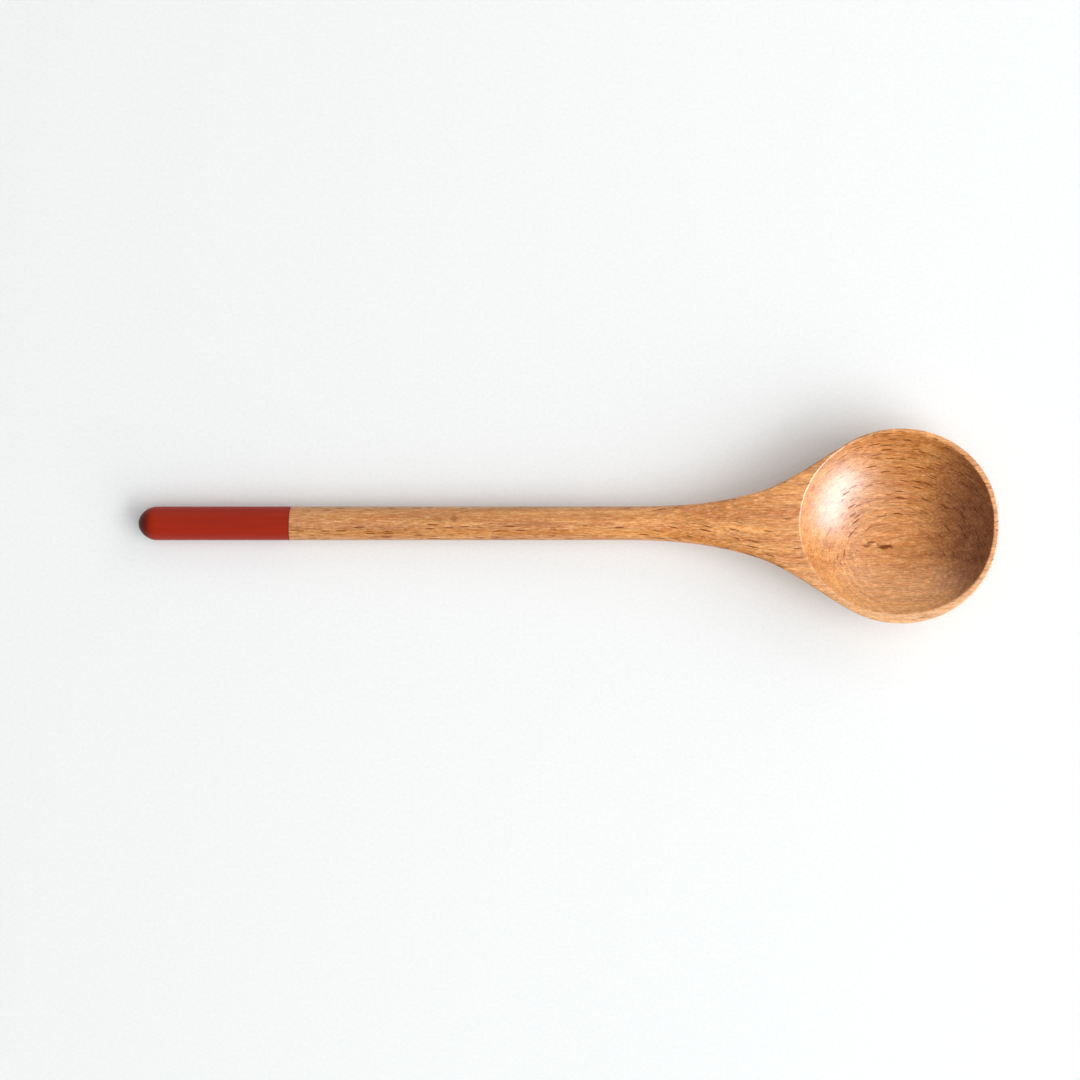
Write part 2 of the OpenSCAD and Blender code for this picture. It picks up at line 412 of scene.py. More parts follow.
# Height: a section's curve up or down from its edge, and the hollow's ball cut
# into the upper side.  The cutter wandered outwards between the lip and the -Y
# side.  The handle was dipped a little askew, so the step where the coats end
# leans along it, further on from the tip towards +Y.
SNAP = 1e-6
LEAN_REACH = 6.0
section = add(body, "ShaderNodeMath", [y, half_width], operation="DIVIDE")
section = add(body, "ShaderNodeMath", [section, section], operation="MULTIPLY")
fullness = add(body, "ShaderNodeMath", [mark, mark, -SNAP], operation="MULTIPLY_ADD")
section = add(body, "ShaderNodeMath", [fullness, section], operation="SUBTRACT")
section = add(body, "ShaderNodeMath", [section, 0.0], operation="MAXIMUM")
above = add(body, "ShaderNodeMath", [section, along(body, x, top_fullness_knots)], operation="POWER")
above = add(body, "ShaderNodeMath", [above, rise, edge], operation="MULTIPLY_ADD")
below = add(body, "ShaderNodeMath", [section, along(body, x, under_fullness_knots)], operation="POWER")
below = add(body, "ShaderNodeMath", [below, drop], operation="MULTIPLY")
below = add(body, "ShaderNodeMath", [edge, below], operation="SUBTRACT")
ball_x = add(body, "ShaderNodeMath", [x, hollow_mid], operation="SUBTRACT")
true_y = add(body, "ShaderNodeMath", [y, along(body, x, middle_knots)], operation="ADD")
ball_y = add(body, "ShaderNodeMath", [true_y, size["Hollow shift"]], operation="SUBTRACT")
stretch = [size["Hollow half length"], size["Hollow half width"]]
stretch = add(body, "ShaderNodeMath", stretch, operation="DIVIDE")
ball_y = add(body, "ShaderNodeMath", [ball_y, stretch], operation="MULTIPLY")
askew = add(body, "ShaderNodeMath", [ball_x, ball_y], operation="MULTIPLY")
askew = add(body, "ShaderNodeMath", [askew, 0.0], operation="MINIMUM")
ahead = add(body, "ShaderNodeMath", [ball_x, 0.0], operation="GREATER_THAN")
askew = add(body, "ShaderNodeMath", [askew, ahead], operation="MULTIPLY")
askew = add(body, "ShaderNodeMath", [askew, askew], operation="MULTIPLY")
ball_x = add(body, "ShaderNodeMath", [ball_x, ball_x], operation="MULTIPLY")
ball_out = add(body, "ShaderNodeMath", [ball_y, ball_y, ball_x], operation="MULTIPLY_ADD")
askew = add(body, "ShaderNodeMath", [askew, ball_out], operation="DIVIDE")
askew = add(body, "ShaderNodeMath", [askew, size["Cutter wander"]], operation="MULTIPLY")
ball_out = add(body, "ShaderNodeMath", [ball_out, askew], operation="SUBTRACT")
ball_square = [size["Hollow radius"], size["Hollow radius"]]
ball_square = add(body, "ShaderNodeMath", ball_square, operation="MULTIPLY")
ball_up = add(body, "ShaderNodeMath", [ball_square, ball_out], operation="SUBTRACT")
ball_up = add(body, "ShaderNodeMath", [ball_up, 0.0], operation="MAXIMUM")
ball_up = add(body, "ShaderNodeMath", [ball_up], operation="SQRT")
ball_top = add(body, "ShaderNodeMath", [size["Hollow radius"], size["Hollow floor"]], operation="ADD")
ball = add(body, "ShaderNodeMath", [ball_top, ball_up], operation="SUBTRACT")
hollowed = add(body, "ShaderNodeMath", [above, ball, size["Arris softness"]], operation="SMOOTH_MIN")
is_upper = add(body, "ShaderNodeMath", [mark, 0.0], operation="GREATER_THAN")
height = add(body, "GeometryNodeSwitch", [is_upper, below, hollowed], input_type="FLOAT")
skin = add(body, "GeometryNodeJoinGeometry")
for part in (tube, top, under):
    body.links.new(part.outputs[0], skin.inputs[0])
out_of_square = [x, dip_length - LEAN_REACH, dip_length, 0.0, 1.0]
out_of_square = add(body, "ShaderNodeMapRange", out_of_square)
squared_up = add(body, "ShaderNodeMapRange", [x, dip_length, dip_length + LEAN_REACH, 1.0, 0.0])
out_of_square = add(body, "ShaderNodeMath", [out_of_square, squared_up], operation="MINIMUM")
lean = add(body, "ShaderNodeMath", [y, edge_lean / handle_r, edge_lean], operation="MULTIPLY_ADD")
leaning_x = add(body, "ShaderNodeMath", [lean, out_of_square, x], operation="MULTIPLY_ADD")
spot = add(body, "ShaderNodeCombineXYZ", [leaning_x, true_y, height])
skin = add(body, "GeometryNodeSetPosition", {"Geometry": skin, "Position": spot})
WELD_MM = 0.001
skin = add(body, "GeometryNodeMergeByDistance", {"Geometry": skin, "Distance": WELD_MM})

# Hand work: the sander leaves faint hollows, and the outer edge of the rim has small nicks
NICK_SIZE_MM = 1.6
NICK_STARTS, NICK_FULL = 0.55, 0.74
EDGE_BAND = 0.05
RIM_FADE_MM = 6
SANDING_SIZE_MM = 9.0
SANDED_FROM_MM, SANDED_FULLY_MM = 2, 20
nick = add(body, "ShaderNodeTexNoise", {"Vector": position, "Scale": 1 / NICK_SIZE_MM, "Detail": 1.0})
nick = add(body, "ShaderNodeMapRange", [nick, NICK_STARTS, NICK_FULL, 0.0, 1.0])
on_edge = add(body, "ShaderNodeMapRange", [section, 0.0, EDGE_BAND, 1.0, 0.0])
by_rim = [x, neck_end - RIM_FADE_MM, neck_end + RIM_FADE_MM, 0.0, 1.0]
by_rim = add(body, "ShaderNodeMapRange", by_rim)
nick = add(body, "ShaderNodeMath", [nick, on_edge], operation="MULTIPLY")
nick = add(body, "ShaderNodeMath", [nick, by_rim], operation="MULTIPLY")
nick = add(body, "ShaderNodeMath", [nick, size["Nick depth"]], operation="MULTIPLY")
sanded = add(body, "ShaderNodeTexNoise", {"Vector": position, "Scale": 1 / SANDING_SIZE_MM, "Detail": 1.0})
sanded = add(body, "ShaderNodeMath", [sanded, size["Sanding depth"]], operation="MULTIPLY")
past_paint = [x, dip_length + SANDED_FROM_MM, dip_length + SANDED_FULLY_MM, 0.0, 1.0]
past_paint = add(body, "ShaderNodeMapRange", past_paint)
cut = add(body, "ShaderNodeMath", [sanded, past_paint, nick], operation="MULTIPLY_ADD")
cut = add(body, "ShaderNodeMath", [cut, -1.0], operation="MULTIPLY")
normal = add(body, "GeometryNodeInputNormal")
inwards = add(body, "ShaderNodeVectorMath", {0: normal, 3: cut}, operation="SCALE")
skin = add(body, "GeometryNodeSetPosition", {"Geometry": skin, "Offset": inwards})

row_place = {"Geometry": skin, "Translation": (cad_low.x, 0, 0), "Scale": (MM, MM, MM)}
skin = add(body, "GeometryNodeTransform", row_place)
skin = smooth_but_creased(body, skin)
skin = add(body, "GeometryNodeRealizeInstances", [skin])
skin = add(body, "GeometryNodeSetMaterial", {"Geometry": skin, "Material": beech})
add(body, "NodeGroupOutput", [skin])

spoon = made_mesh("carved_beech", body, spoon_sizes)


def linear(hex_colour):
    """An sRGB hex colour as the linear colour that a shader takes."""
    channels = [int(hex_colour[i : i + 2], 16) / 255 for i in (1, 3, 5)]
    return (*(c / 12.92 if c <= 0.04045 else ((c + 0.055) / 1.055) ** 2.4 for c in channels), 1.0)


# Steamed beech, sanded fine and oiled: warm orange tan, with short dark flecks
# where the surface cuts through its rays, fine fibres in the same layers, and
# deeper brown where end grain drinks more oil, which on the far wall of the
# hollow is also painted shade, under a soft satin sheen.
wood = beech.node_tree
wood.nodes.clear()
skin_point = add(wood, "ShaderNodeTexCoord").outputs
from_tip = (-cad_low.x / MM, 0, 0)
in_mm = [skin_point["Object"], (1 / MM, 1 / MM, 1 / MM), from_tip]
in_mm = add(wood, "ShaderNodeVectorMath", in_mm, operation="MULTIPLY_ADD")

# Rays are thin sheets with slightly ragged edges.  Turned to them, the three axes
# run along the fibre, outwards from the tree's heart, and through the sheets.
RAY_TURN = (math.radians(22), handle_rise, 0)
RAGGED_SIZE_MM = 0.9
RAGGED_BY_MM = (0.5, 0.4, 0.12)
turned = add(wood, "ShaderNodeMapping", {"Vector": in_mm, "Rotation": RAY_TURN}, vector_type="POINT")


def wobbled(point, size_mm, detail, by_mm):
    """The point, moved to and fro by a share of by_mm, in a pattern of the given size."""
    noise = {"Vector": point, "Scale": 1 / size_mm, "Detail": detail}
    noise = add(wood, "ShaderNodeTexNoise", noise).outputs["Color"]
    noise = add(wood, "ShaderNodeVectorMath", [noise, (0.5, 0.5, 0.5)], operation="SUBTRACT")
    return add(wood, "ShaderNodeVectorMath", [noise, by_mm, point], operation="MULTIPLY_ADD")


ragged = wobbled(turned, RAGGED_SIZE_MM, 1.0, RAGGED_BY_MM)

# How flat the sheets lie in the surface, from 0 to 1, and how squarely it cuts across them
turned_normal = {"Vector": skin_point["Normal"], "Rotation": RAY_TURN}
turned_normal = add(wood, "ShaderNodeMapping", turned_normal, vector_type="NORMAL")
flat = add(wood, "ShaderNodeSeparateXYZ", [turned_normal]).outputs["Z"]
flat = add(wood, "ShaderNodeMath", [flat], operation="ABSOLUTE")
squarely = add(wood, "ShaderNodeMath", [flat, flat], operation="MULTIPLY")
squarely = add(wood, "ShaderNodeMath", [1.0, squarely], operation="SUBTRACT")
squarely = add(wood, "ShaderNodeMath", [squarely, 0.0], operation="MAXIMUM")
squarely = add(wood, "ShaderNodeMath", [squarely], operation="SQRT")

# The smallest ray's share of the largest one's size, the share of a ray that is
# dark right through, and the draws between which rays go from none to full dark
SMALLEST_SHARE = 0.65
DARK_CORE = 0.7
FAINTEST_DRAW, DARKEST_DRAW = 0.2, 0.5


def flecks(cell, sheet, seed):
    """How strongly a point lies in a ray, each with its place, size and strength in a cell.

    A real ray is a tenth of a millimetre thick and would not show where the surface cuts it
    squarely, so it is drawn thicker there, and every fleck is about as wide.
    """
    lattice = add(wood, "ShaderNodeVectorMath", [ragged, seed], operation="ADD")
    lattice = add(wood, "ShaderNodeVectorMath", [lattice, cell], operation="DIVIDE")
    found = add(wood, "ShaderNodeTexVoronoi", {"Vector": lattice, "Scale": 1.0, "Randomness": 1.0})
    chance = add(wood, "ShaderNodeSeparateColor", [found.outputs["Color"]])
    offset = add(wood, "ShaderNodeVectorMath", [lattice, found.outputs["Position"]], operation="SUBTRACT")
    share = [c / s for c, s in zip(cell, sheet)]
    share[2] = add(wood, "ShaderNodeMath", [share[2], squarely], operation="DIVIDE")
    share = add(wood, "ShaderNodeCombineXYZ", share)
    offset = add(wood, "ShaderNodeVectorMath", [offset, share], operation="MULTIPLY")
    offset = add(wood, "ShaderNodeVectorMath", [offset], operation="LENGTH").outputs["Value"]
    reach = add(wood, "ShaderNodeMapRange", [chance.outputs["Green"], 0.0, 1.0, SMALLEST_SHARE, 1.0])
    offset = add(wood, "ShaderNodeMath", [offset, reach], operation="DIVIDE")
    inside = add(wood, "ShaderNodeMapRange", [offset, 1.0, DARK_CORE, 0.0, 1.0])
    strength = [chance.outputs["Red"], FAINTEST_DRAW, DARKEST_DRAW, 0.0, 1.0]
    strength = add(wood, "ShaderNodeMapRange", strength)
    return add(wood, "ShaderNodeMath", [inside, strength], operation="MULTIPLY")


# Cells and half sizes of the sheets, in millimetres
BIG_CELL, BIG_SHEET = (3.7, 2.8, 0.68), (1.95, 1.35, 0.22)
SMALL_CELL, SMALL_SHEET = (1.9, 1.6, 0.46), (0.85, 0.7, 0.16)
SMALL_SEED = (7.3, 1.9, 4.1)
SMALL_STRENGTH = 0.45
big_flecks = flecks(BIG_CELL, BIG_SHEET, (0.0, 0.0, 0.0))
small_flecks = flecks(SMALL_CELL, SMALL_SHEET, SMALL_SEED)
fleck = add(wood, "ShaderNodeMath", [small_flecks, SMALL_STRENGTH], operation="MULTIPLY")
fleck = add(wood, "ShaderNodeMath", [big_flecks, fleck], operation="MAXIMUM")

# The fibres run a little downwards to the lip, so the far wall of the hollow
# shows the most end grain.  This mask darkens that wall, the side away from the
# window, as painted shade as well as end grain.
FIBRE = (0.978, 0, -0.208)
END_GRAIN_AND_SHADE_STARTS, END_GRAIN_AND_SHADE_FULL, END_GRAIN_AND_SHADE_MOST = -0.32, -0.8, 0.85
along_fibre = add(wood, "ShaderNodeVectorMath", [skin_point["Normal"], FIBRE], operation="DOT_PRODUCT")
along_fibre = along_fibre.outputs["Value"]
end_grain_and_shade = [along_fibre, END_GRAIN_AND_SHADE_STARTS, END_GRAIN_AND_SHADE_FULL, 0.0, END_GRAIN_AND_SHADE_MOST]
end_grain_and_shade = add(wood, "ShaderNodeMapRange", end_grain_and_shade, interpolation_type="SMOOTHSTEP")

# Flecks vanish where the surface runs along the sheets, and are fainter on the
# hollow's far wall, on its near wall and on the pale side of the bowl
FLAT_HIDDEN, FLAT_SHOWN = 0.965, 0.915
FAR_WALL_LOSS = 0.4
NEAR_WALL_STARTS, NEAR_WALL_FULL, NEAR_WALL_FAINT = 0.15, 0.4, 0.35
PALE_SIDE_STARTS, PALE_SIDE_FULL, PALE_SIDE_FAINT = -6.0, -14.0, 0.3
across_spoon = add(wood, "ShaderNodeSeparateXYZ", [in_mm]).outputs["Y"]
shown = add(wood, "ShaderNodeMath", [end_grain_and_shade, -FAR_WALL_LOSS, 1.0], operation="MULTIPLY_ADD")
fleck = add(wood, "ShaderNodeMath", [fleck, shown], operation="MULTIPLY")
for fading in (
    [flat, FLAT_HIDDEN, FLAT_SHOWN, 0.0, 1.0],
    [along_fibre, NEAR_WALL_STARTS, NEAR_WALL_FULL, 1.0, NEAR_WALL_FAINT],
    [across_spoon, PALE_SIDE_STARTS, PALE_SIDE_FULL, 1.0, PALE_SIDE_FAINT],
):
    shown = add(wood, "ShaderNodeMapRange", fading)
    fleck = add(wood, "ShaderNodeMath", [fleck, shown], operation="MULTIPLY")

WAVY_SIZE_MM = 1.25
WAVY_BY_MM = (1.6, 1.6, 1.6)
SPOT_CORE = 0.45
wavy = wobbled(in_mm, WAVY_SIZE_MM, 2.0, WAVY_BY_MM)


def dark_spot(place, half):
    """How strongly a point lies in a dark spot with a wavy, soft edge."""
    offset = add(wood, "ShaderNodeVectorMath", [wavy, place], operation="SUBTRACT")
    offset = add(wood, "ShaderNodeVectorMath", [offset, half], operation="DIVIDE")
    offset = add(wood, "ShaderNodeVectorMath", [offset], operation="LENGTH").outputs["Value"]
    inside = [offset, 1.0, SPOT_CORE, 0.0, 1.0]
    return add(wood, "ShaderNodeMapRange", inside, interpolation_type="SMOOTHSTEP")


# Broad rays that the hollow and the handle cut flat, where the sheets lie in
# the surface, and a dark nick in the rim: place, half size and strength
for place, half, strength in (
    ((bowl_mid - 2.2, -5.1, floor_t + 0.5), (2.8, 0.85, 1.5), 1.0),
    ((bowl_mid - 5.6, -4.0, floor_t + 0.9), (1.6, 0.6, 1.5), 0.8),
    ((bowl_mid - 6.9, -4.7, floor_t + 1.1), (1.4, 0.7, 1.5), 0.7),
    ((bowl_mid - 2.0, -13.9, floor_t + 3.8), (1.3, 0.4, 1.5), 0.4),
    ((74.0, 1.5, axis_z(74) + handle_r), (1.5, 0.8, 1.5), 0.35),
    ((77.9, 2.0, axis_z(78) + handle_r), (1.5, 0.9, 1.5), 0.5),
    ((bowl_mid - 6.6, 21.8, rim_h), (0.8, 0.5, 1.2), 0.9),
):
    spotted = add(wood, "ShaderNodeMath", [dark_spot(place, half), strength], operation="MULTIPLY")
    fleck = add(wood, "ShaderNodeMath", [fleck, spotted], operation="MAXIMUM")


def grain(point, per_mm, detail, roughness=0.5):
    """A noise drawn out into grain, with so many to the millimetre along each axis."""
    drawn_out = add(wood, "ShaderNodeVectorMath", [point, per_mm], operation="MULTIPLY")
    noise = {"Vector": drawn_out, "Scale": 1.0, "Detail": detail, "Roughness": roughness}
    return add(wood, "ShaderNodeTexNoise", noise)


# Grain: long streaks 20 mm by 2 mm, growth layers 0.4 mm thick that the hollow cuts
# into rings, fibres and pores.  Real fibres and pores are a fiftieth to a twelfth
# of a millimetre wide, too fine to show, so they are drawn about 0.3 mm wide.
STREAKS_PER_MM = (0.045, 0.55, 0.5)
LAYERS_PER_MM = (0.05, 0.09, 2.4)
FIBRES_PER_MM = (0.36, 3.0, 3.0)
PORES_PER_MM = (1.2, 4.0, 4.0)
YEAR_RING_MM = 2.7
YEAR_RING_WAVE = 0.5
streak = add(wood, "ShaderNodeMapRange", [grain(turned, STREAKS_PER_MM, 3.0), 0.3, 0.7, 0.0, 1.0])
layer_shade = [grain(turned, LAYERS_PER_MM, 1.0), 0.35, 0.65, 0.9, 1.09]
layer_shade = add(wood, "ShaderNodeMapRange", layer_shade)
fibre = grain(in_mm, FIBRES_PER_MM, 2.0, roughness=0.6)
fibre_light = add(wood, "ShaderNodeMapRange", [fibre, 0.3, 0.65, 0.0, 1.0])
pale_fibre = add(wood, "ShaderNodeMapRange", [fibre, 0.48, 0.72, 0.0, 0.3])
pore_shade = add(wood, "ShaderNodeMapRange", [grain(in_mm, PORES_PER_MM, 1.0), 0.3, 0.7, 0.8, 1.18])
outwards = add(wood, "ShaderNodeSeparateXYZ", [turned]).outputs["Y"]
wave = add(wood, "ShaderNodeMath", [streak, YEAR_RING_WAVE], operation="MULTIPLY")
year_ring = add(wood, "ShaderNodeMath", [outwards, 1 / YEAR_RING_MM, wave], operation="MULTIPLY_ADD")
year_ring = add(wood, "ShaderNodeMath", [year_ring], operation="FRACT")
ring_shade = add(wood, "ShaderNodeMapRange", [year_ring, 0.0, 1.0, 1.04, 0.93])

# The neck is the palest and the handle the deepest in tone.  Each shade goes over
# into the next within a stretch, in millimetres from where the neck or hollow starts.
HANDLE_SHADE, NECK_SHADE = 0.94, 1.2
BOWL_TO_NECK_SHADE = 0.877
HANDLE_TO_NECK_MM = (-20, 15)
NECK_TO_BOWL_MM = (-2, 8)
along_spoon = add(wood, "ShaderNodeSeparateXYZ", [in_mm]).outputs["X"]
neck_shade = [neck_start + ahead_mm for ahead_mm in HANDLE_TO_NECK_MM]
neck_shade = [along_spoon, *neck_shade, HANDLE_SHADE, NECK_SHADE]
neck_shade = add(wood, "ShaderNodeMapRange", neck_shade)
bowl_shade = [heel_x + ahead_mm for ahead_mm in NECK_TO_BOWL_MM]
bowl_shade = [along_spoon, *bowl_shade, 1.0, BOWL_TO_NECK_SHADE]
bowl_shade = add(wood, "ShaderNodeMapRange", bowl_shade)
shade = add(wood, "ShaderNodeMath", [neck_shade, bowl_shade], operation="MULTIPLY")
for part_shade in (pore_shade, ring_shade, layer_shade):
    shade = add(wood, "ShaderNodeMath", [shade, part_shade], operation="MULTIPLY")

# Colour: streaks of darker and lighter tan, and paler for 30 mm past the paint
# where the wood was masked.  The bowl is also paler on its -Y side, partly as
# sapwood towards the outside of the tree and partly as painted light and sheen.
MASKED_MM, MASKED_SHARE = 30.0, 0.12
SAPWOOD_AND_LIGHT_STARTS, SAPWOOD_AND_LIGHT_FULL, SAPWOOD_AND_LIGHT_SHARE = -8.0, -22.0, 0.6
masked = [along_spoon, dip_length, dip_length + MASKED_MM, MASKED_SHARE, 0.0]
masked = add(wood, "ShaderNodeMapRange", masked)
sapwood_and_light = [across_spoon, SAPWOOD_AND_LIGHT_STARTS, SAPWOOD_AND_LIGHT_FULL, 0.0, SAPWOOD_AND_LIGHT_SHARE]
sapwood_and_light = add(wood, "ShaderNodeMapRange", sapwood_and_light)
tone = linear("#B46C2D")
for share, colour in (
    (streak, "#D6934D"),
    (masked, "#DCAA76"),
    (sapwood_and_light, "#E8B27C"),
    (pale_fibre, "#E6BC8C"),
):
    tone = add(wood, "ShaderNodeMix", {0: share, 6: tone, 7: linear(colour)}, data_type="RGBA").outputs[2]

# Dark fibres are more orange and light ones paler, over the shades of the grain
DARK_FIBRE_TINT = (0.83, 0.73, 0.55, 1.0)
LIGHT_FIBRE_TINT = (1.07, 1.13, 1.28, 1.0)
FLECK_COLOUR_SHARE = 0.88
fibre_tint = {0: fibre_light, 6: DARK_FIBRE_TINT, 7: LIGHT_FIBRE_TINT}
fibre_tint = add(wood, "ShaderNodeMix", fibre_tint, data_type="RGBA").outputs[2]
tone = add(wood, "ShaderNodeVectorMath", [tone, fibre_tint], operation="MULTIPLY")
tone = add(wood, "ShaderNodeVectorMath", {0: tone, 3: shade}, operation="SCALE")
fleck_share = add(wood, "ShaderNodeMath", [fleck, FLECK_COLOUR_SHARE], operation="MULTIPLY")
tone = {0: fleck_share, 6: tone, 7: linear("#6A2E0B")}
tone = add(wood, "ShaderNodeMix", tone, data_type="RGBA").outputs[2]

# End grain drinks more oil, and the same tint paints shade on the hollow's far
# wall, the side that faces away from the window
OIL_AND_SHADE_TINT = (0.36, 0.3, 0.42)
oiled = add(wood, "ShaderNodeVectorMath", [tone, OIL_AND_SHADE_TINT], operation="MULTIPLY")
tone = add(wood, "ShaderNodeMix", {0: end_grain_and_shade, 6: tone, 7: oiled}, data_type="RGBA").outputs[2]

# The sheen: fibres stand about a hundredth of a millimetre proud of the flecks,
# which are duller than they are.  Level faces, such as the top of the neck, are
# sanded but less burnished than the walls of the hollow.
LEVEL_STARTS, LEVEL_FULL = 0.9, 0.985
UNPOLISHED = 0.3
RELIEF_MM = 0.018
SUNK_FLECK = 0.6
SHEEN, FLECK_SHEEN_LOSS = 0.5, 0.4
relief = add(wood, "ShaderNodeMath", [fleck, -SUNK_FLECK, fibre], operation="MULTIPLY_ADD")
relief = add(wood, "ShaderNodeBump", {"Height": relief, "Strength": 0.5, "Distance": RELIEF_MM * MM})
gloss = add(wood, "ShaderNodeMapRange", [fibre, 0.3, 0.7, 0.31, 0.37])
level = add(wood, "ShaderNodeSeparateXYZ", [skin_point["Normal"]]).outputs["Z"]
unpolished = add(wood, "ShaderNodeMapRange", [level, LEVEL_STARTS, LEVEL_FULL, 0.0, UNPOLISHED])
gloss = add(wood, "ShaderNodeMath", [gloss, unpolished], operation="ADD")
sheen = add(wood, "ShaderNodeMath", [fleck, -FLECK_SHEEN_LOSS, SHEEN], operation="MULTIPLY_ADD")
surface = {"Base Color": tone, "Roughness": gloss, "IOR": 1.5, "Specular IOR Level": sheen}
surface = add(wood, "ShaderNodeBsdfPrincipled", {**surface, "Normal": relief})
add(wood, "ShaderNodeOutputMaterial", [surface])

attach(spoon, "root")
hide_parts("beech_spoon")

# ================================================================ Primer coat
# A thin white undercoat that fills the beech's pores, so that the colour over
# it is smooth.  It is wholly covered.

primer = bpy.data.materials.new("white primer, flat")
primer.use_nodes = True

# Chalky undercoat: off-white, a little mottled where it sank into the wood, and dead flat
chalk = primer.node_tree
chalk.nodes.clear()
spot = add(chalk, "ShaderNodeTexCoord").outputs["Object"]
SOAKED_MM = 1.5
GRIT_MM = 0.01
soaked = {"Vector": spot, "Scale": 1 / (SOAKED_MM * MM), "Detail": 2.0}
soaked = add(chalk, "ShaderNodeTexNoise", soaked)
colour = {0: soaked, 6: linear("#E4DFD4"), 7: linear("#F2EFE8")}
colour = add(chalk, "ShaderNodeMix", colour, data_type="RGBA").outputs[2]
grit = {"Height": soaked, "Strength": 0.3, "Distance": GRIT_MM * MM}
grit = add(chalk, "ShaderNodeBump", grit)
surface = {"Base Color": colour, "Roughness": 0.85, "Normal": grit}
surface = add(chalk, "ShaderNodeBsdfPrincipled", surface)
add(chalk, "ShaderNodeOutputMaterial", [surface])
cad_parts["primer_coat"].data.materials.clear()
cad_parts["primer_coat"].data.materials.append(primer)

# ================================================================ Red paint coat
# The colour coat, dipped over the primer and drained, so that it is smooth and
# of one thickness, and ends in a thin lip round the handle, flush with the wood.
# Its tip is a touch deeper in colour, partly where the paint collected and partly
# as painted shade on the end that faces away from the window.

paint_t = 0.12
lip_round = 0.04
gathered_and_shade_length = 3.6

red = bpy.data.materials.new("brick red enamel, satin")
red.use_nodes = True

coat_sizes = {
    "Handle radius": handle_r,
    "Paint thickness": paint_t,
    "Tip length": tip_length,
    "Dip length": dip_length,
    "Lip round": lip_round,
    "Edge lean": edge_lean,
}
coat_tree, size = new_tree("Dipped coat", coat_sizes)

# One grid swept round: out from the tip's pole along the outside, over the lip
# and back along the inside to the inner pole, with its faces turned outwards
NOSE_RINGS = 26
SIDE_RINGS = 34
ROUND_SIDES = 128
LIP_RING = NOSE_RINGS + SIDE_RINGS + 1
LIP_BLEND = 0.9
coat, ring_share, round_share = flat_grid(coat_tree, 2 * LIP_RING, ROUND_SIDES)
ring = add(coat_tree, "ShaderNodeMath", [ring_share, 2.0 * LIP_RING], operation="MULTIPLY")
back = add(coat_tree, "ShaderNodeMath", [2.0 * LIP_RING, ring], operation="SUBTRACT")
step = add(coat_tree, "ShaderNodeMath", [ring, back], operation="MINIMUM")
inset = add(coat_tree, "ShaderNodeMapRange", [ring, LIP_RING - LIP_BLEND, LIP_RING + LIP_BLEND, 0.0, 1.0])
inset = add(coat_tree, "ShaderNodeMath", [inset, size["Paint thickness"]], operation="MULTIPLY")
nose_turn = add(coat_tree, "ShaderNodeMapRange", [step, 0.0, float(NOSE_RINGS), 0.0, math.pi / 2])
nose_cos = add(coat_tree, "ShaderNodeMath", [nose_turn], operation="COSINE")
nose_cos = add(coat_tree, "ShaderNodeMath", [nose_cos, 0.0], operation="MAXIMUM")
nose_cos = add(coat_tree, "ShaderNodeMath", [nose_cos, 2 / tip_fullness], operation="POWER")
nose_sin = add(coat_tree, "ShaderNodeMath", [nose_turn], operation="SINE")
nose_sin = add(coat_tree, "ShaderNodeMath", [nose_sin, 2 / tip_fullness], operation="POWER")
nose = add(coat_tree, "ShaderNodeMath", [inset, size["Tip length"]], operation="SUBTRACT")
nose = add(coat_tree, "ShaderNodeMath", [nose, nose_cos, size["Tip length"]], operation="MULTIPLY_ADD")
shoulder = add(coat_tree, "ShaderNodeMath", [size["Dip length"], size["Lip round"]], operation="SUBTRACT")
side = [step, float(NOSE_RINGS), LIP_RING - 1.0, size["Tip length"], shoulder]
side = add(coat_tree, "ShaderNodeMapRange", side)
past_nose = add(coat_tree, "ShaderNodeMath", [step, NOSE_RINGS + 0.5], operation="GREATER_THAN")
on_lip = add(coat_tree, "ShaderNodeMath", [step, LIP_RING - 0.5], operation="GREATER_THAN")
reach = add(coat_tree, "GeometryNodeSwitch", [past_nose, nose, side], input_type="FLOAT")
reach = add(coat_tree, "GeometryNodeSwitch", [on_lip, reach, size["Dip length"]], input_type="FLOAT")
girth = add(coat_tree, "ShaderNodeMath", [size["Handle radius"], inset], operation="SUBTRACT")
girth = add(coat_tree, "ShaderNodeMath", [girth, nose_sin], operation="MULTIPLY")
turn = add(coat_tree, "ShaderNodeMath", [round_share, 2 * math.pi], operation="MULTIPLY")
across = add(coat_tree, "ShaderNodeMath", [turn], operation="COSINE")
across = add(coat_tree, "ShaderNodeMath", [across, girth], operation="MULTIPLY")
up = add(coat_tree, "ShaderNodeMath", [turn], operation="SINE")
up = add(coat_tree, "ShaderNodeMath", [up, girth], operation="MULTIPLY")

# The edge leans along the handle, as the step in the wood does
out_of_square = [reach, dip_length - LEAN_REACH, dip_length, 0.0, 1.0]
out_of_square = add(coat_tree, "ShaderNodeMapRange", out_of_square)
lean = add(coat_tree, "ShaderNodeMath", [across, 1 / handle_r, 1.0], operation="MULTIPLY_ADD")
lean = add(coat_tree, "ShaderNodeMath", [lean, size["Edge lean"]], operation="MULTIPLY")
reach = add(coat_tree, "ShaderNodeMath", [lean, out_of_square, reach], operation="MULTIPLY_ADD")
spot = add(coat_tree, "ShaderNodeCombineXYZ", [reach, across, up])
coat = add(coat_tree, "GeometryNodeSetPosition", {"Geometry": coat, "Position": spot})
coat = add(coat_tree, "GeometryNodeMergeByDistance", {"Geometry": coat, "Distance": WELD_MM})
coat = add(coat_tree, "GeometryNodeFlipFaces", {"Mesh": coat})
tilt = {"Geometry": coat, "Translation": (0, handle_offset, axis_z(0)), "Rotation": (0, -handle_rise, 0)}
coat = add(coat_tree, "GeometryNodeTransform", tilt)
row_place = {"Geometry": coat, "Translation": (cad_low.x, 0, 0), "Scale": (MM, MM, MM)}
